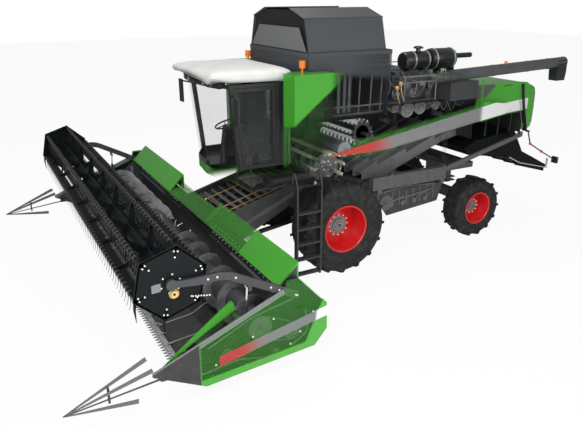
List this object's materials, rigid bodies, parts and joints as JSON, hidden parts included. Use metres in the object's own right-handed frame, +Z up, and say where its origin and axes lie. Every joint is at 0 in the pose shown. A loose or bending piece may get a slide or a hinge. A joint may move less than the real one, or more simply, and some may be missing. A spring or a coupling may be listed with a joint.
{
  "type": "combine harvester",
  "caption": "Combine harvester with a wide cutting header, tined reel, cab, grain tank, swinging unloading tube, straw walkers and chopper, on driven front and steered rear wheels.",
  "frame": {"origin": "centre of the bounding box's base, on the ground", "axes": "+Z up, +Y towards the machine's rear, +X towards its left side"},
  "size_m": [7.7, 11.2602, 4.64],
  "materials": {
    "green_paint": "satin",
    "red_paint": "satin",
    "grey_paint": "satin",
    "black_paint": "satin",
    "bare_steel": "satin",
    "cast_engine": "satin",
    "tyre_rubber": "matte",
    "cab_glass": "polished",
    "roof_plastic": "polished",
    "black_plastic": "matte",
    "clear_panel": "polished",
    "lamp_orange": "polished",
    "seat_fabric": "matte"
  },
  "bodies": {
    "root": {"front_axle": "grey_paint", "rear_axle": "grey_paint", "chassis_frame": "grey_paint", "body_walls": "black_paint", "concave": "bare_steel", "straw_walkers": "bare_steel", "cleaning_shoe": "black_paint", "lower_panels": "clear_panel", "side_panel_left": "clear_panel", "side_panel_right": "green_paint", "corner_panels": "green_paint", "body_frame": "grey_paint", "engine": "cast_engine", "deck_housings": "black_paint", "grain_tank": "grey_paint", "tank_extension": "grey_paint", "tank_flaps": "grey_paint", "beacons": "lamp_orange", "rear_hood": "green_paint", "end_cap": "green_paint", "straw_chopper": "black_paint", "spreader": "black_paint", "lamp_bracket": "black_paint", "air_system": "black_paint", "cab_base": "green_paint", "cab_frame": "black_paint", "cab_glass": "cab_glass", "cab_roof": "roof_plastic", "cab_fittings": "seat_fabric", "platform": "black_paint"},
    "wheel_front_left": {"tyre_front_left": "tyre_rubber", "rim_front_left": "red_paint"},
    "wheel_front_right": {"tyre_front_right": "tyre_rubber", "rim_front_right": "red_paint"},
    "steered_knuckle_left": {"knuckle_left": "grey_paint"},
    "steered_knuckle_right": {"knuckle_right": "grey_paint"},
    "wheel_rear_left": {"tyre_rear_left": "tyre_rubber", "rim_rear_left": "red_paint"},
    "wheel_rear_right": {"tyre_rear_right": "tyre_rubber", "rim_rear_right": "red_paint"},
    "header": {"feeder_house": "black_paint", "feeder_chain": "bare_steel", "header_frame": "grey_paint", "header_cover": "green_paint", "header_ends": "green_paint", "long_dividers": "grey_paint"},
    "auger": {"header_auger": "grey_paint"},
    "reel_lift_arms": {"reel_arms": "grey_paint"},
    "tined_reel": {"reel": "grey_paint"},
    "lift_barrels": {"lift_cylinder_barrels": "black_paint"},
    "lift_rods": {"lift_cylinder_rods": "bare_steel"},
    "reel_barrels": {"reel_cylinder_barrels": "black_paint"},
    "reel_rods": {"reel_cylinder_rods": "bare_steel"},
    "swinging_tube": {"unloading_tube": "grey_paint"},
    "door": {"cab_door": "black_paint", "door_glass": "cab_glass"},
    "drum": {"threshing_drum": "bare_steel"},
    "beater_rotor": {"beater": "bare_steel"},
    "separator_rotor": {"separator": "black_paint"}
  },
  "joints": [
    {"name": "front_left_roll", "type": "hinge", "parent": "root", "child": "wheel_front_left", "pos_m": [1.33, -0.34, 0.88], "axis": [1, 0, 0], "continuous": true},
    {"name": "front_right_roll", "type": "hinge", "parent": "root", "child": "wheel_front_right", "pos_m": [-1.33, -0.34, 0.88], "axis": [1, 0, 0], "continuous": true},
    {"name": "steer_left", "type": "hinge", "parent": "root", "child": "steered_knuckle_left", "pos_m": [0.86, 3.105, 0.75], "axis": [0, 0, 1], "range_deg": [-40, 40]},
    {"name": "steer_right", "type": "hinge", "parent": "root", "child": "steered_knuckle_right", "pos_m": [-0.86, 3.105, 0.75], "axis": [0, 0, 1], "range_deg": [-40, 40]},
    {"name": "rear_left_roll", "type": "hinge", "parent": "steered_knuckle_left", "child": "wheel_rear_left", "pos_m": [1.19, 3.105, 0.631], "axis": [1, 0, 0], "continuous": true},
    {"name": "rear_right_roll", "type": "hinge", "parent": "steered_knuckle_right", "child": "wheel_rear_right", "pos_m": [-1.19, 3.105, 0.631], "axis": [1, 0, 0], "continuous": true},
    {"name": "header_lift", "type": "hinge", "parent": "root", "child": "header", "pos_m": [0, -0.59, 1.6], "axis": [-1, 0, 0], "range_deg": [-2.5, 12]},
    {"name": "auger_turn", "type": "hinge", "parent": "header", "child": "auger", "pos_m": [0, -3.12, 0.8], "axis": [1, 0, 0], "continuous": true},
    {"name": "reel_lift", "type": "hinge", "parent": "header", "child": "reel_lift_arms", "pos_m": [0, -2.6, 1.16], "axis": [-1, 0, 0], "range_deg": [-8, 12]},
    {"name": "reel_turn", "type": "hinge", "parent": "reel_lift_arms", "child": "tined_reel", "pos_m": [0, -4.24, 1.69], "axis": [1, 0, 0], "continuous": true},
    {"name": "lift_cylinder_swing", "type": "hinge", "parent": "root", "child": "lift_barrels", "pos_m": [0, -0.54, 0.8], "axis": [-1, 0, 0], "range_deg": [-2.6, 12]},
    {"name": "lift_cylinder_stroke", "type": "slide", "parent": "lift_barrels", "child": "lift_rods", "axis": [0, -0.9899, -0.1414], "range_m": [-0.036, 0.169]},
    {"name": "reel_cylinder_swing", "type": "hinge", "parent": "header", "child": "reel_barrels", "pos_m": [0, -3.29, 0.8], "axis": [-1, 0, 0], "range_deg": [-2.7, 4.1]},
    {"name": "reel_cylinder_stroke", "type": "slide", "parent": "reel_barrels", "child": "reel_rods", "axis": [0, 0.0748, 0.9972], "range_m": [-0.093, 0.139]},
    {"name": "unloading_swing", "type": "hinge", "parent": "root", "child": "swinging_tube", "pos_m": [1.285, 1.14, 3.48], "axis": [0, 0, -1], "range_deg": [0, 95]},
    {"name": "cab_door_swing", "type": "hinge", "parent": "root", "child": "door", "pos_m": [0.945, -2.004, 2.04], "axis": [0, 0.1081, -0.9941], "range_deg": [0, 88]},
    {"name": "drum_turn", "type": "hinge", "parent": "root", "child": "drum", "pos_m": [0, -0.13, 1.78], "axis": [1, 0, 0], "continuous": true},
    {"name": "beater_turn", "type": "hinge", "parent": "root", "child": "beater_rotor", "pos_m": [0, 0.28, 2.05], "axis": [1, 0, 0], "continuous": true},
    {"name": "separator_turn", "type": "hinge", "parent": "root", "child": "separator_rotor", "pos_m": [0, 0.68, 2.33], "axis": [1, 0, 0], "continuous": true}
  ],
  "couplings": [
    {"joint": "steer_right", "follows": "steer_left", "ratio": 1},
    {"joint": "lift_cylinder_swing", "follows": "header_lift", "ratio": 0.9875},
    {"joint": "lift_cylinder_stroke", "follows": "header_lift", "m_per_rad": 0.7998},
    {"joint": "reel_cylinder_swing", "follows": "reel_lift", "ratio": 0.33},
    {"joint": "reel_cylinder_stroke", "follows": "reel_lift", "m_per_rad": 0.6543}
  ]
}
